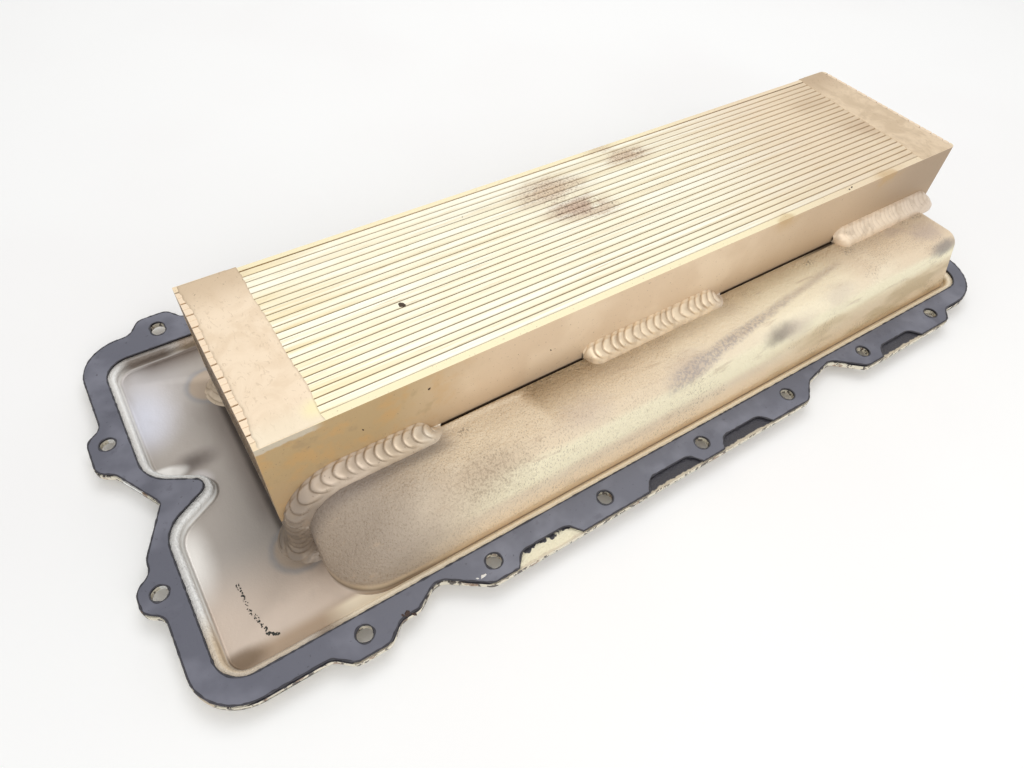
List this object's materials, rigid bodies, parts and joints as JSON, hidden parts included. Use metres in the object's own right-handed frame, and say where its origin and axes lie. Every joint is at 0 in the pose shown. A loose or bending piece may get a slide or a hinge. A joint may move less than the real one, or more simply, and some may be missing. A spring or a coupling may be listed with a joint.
{
  "type": "engine oil cooler",
  "caption": "Plate oil cooler core stitch-welded to a pressed aluminium cover with a bolting flange, a flat gasket and oil ports under the core.",
  "frame": {"origin": "middle of the outline, on the plane that the floor of the cover rests on", "axes": "+Z from the cover to the top of the core, +X along the core away from the notch, +Y from the long open flange side to the other"},
  "size_m": [0.591, 0.274, 0.0888],
  "materials": {
    "pressed_cover": "deep-drawn aluminium sheet, heat-tinted and stained",
    "gasket_rubber": "matt slate-grey coated gasket",
    "core_plate": "brazed aluminium plate with a warm tint",
    "core_bars": "brazed bars with a pale brass tint",
    "braze": "smeared braze metal",
    "header_casting": "cast aluminium",
    "weld_metal": "rippled aluminium weld bead"
  },
  "bodies": {
    "root": {"cover_pan": "pressed_cover", "gasket": "gasket_rubber", "front_side_plate": "core_plate", "back_side_plate": "core_plate", "parting_sheets": "core_plate", "coolant_top_bars": "core_bars", "coolant_bottom_bars": "core_bars", "oil_top_bars": "core_bars", "oil_bottom_bars": "core_bars", "left_oil_end_bars": "core_bars", "right_oil_end_bars": "core_bars", "coolant_fins": "core_plate", "oil_turbulators": "core_plate", "left_braze_overlay": "braze", "right_braze_overlay": "braze", "oil_inlet_header": "header_casting", "oil_outlet_header": "header_casting", "front_left_weld_bead": "weld_metal", "front_middle_weld_bead": "weld_metal", "front_right_weld_bead": "weld_metal", "back_left_weld_bead": "weld_metal", "back_middle_weld_bead": "weld_metal", "back_right_weld_bead": "weld_metal"}
  },
  "joints": []
}
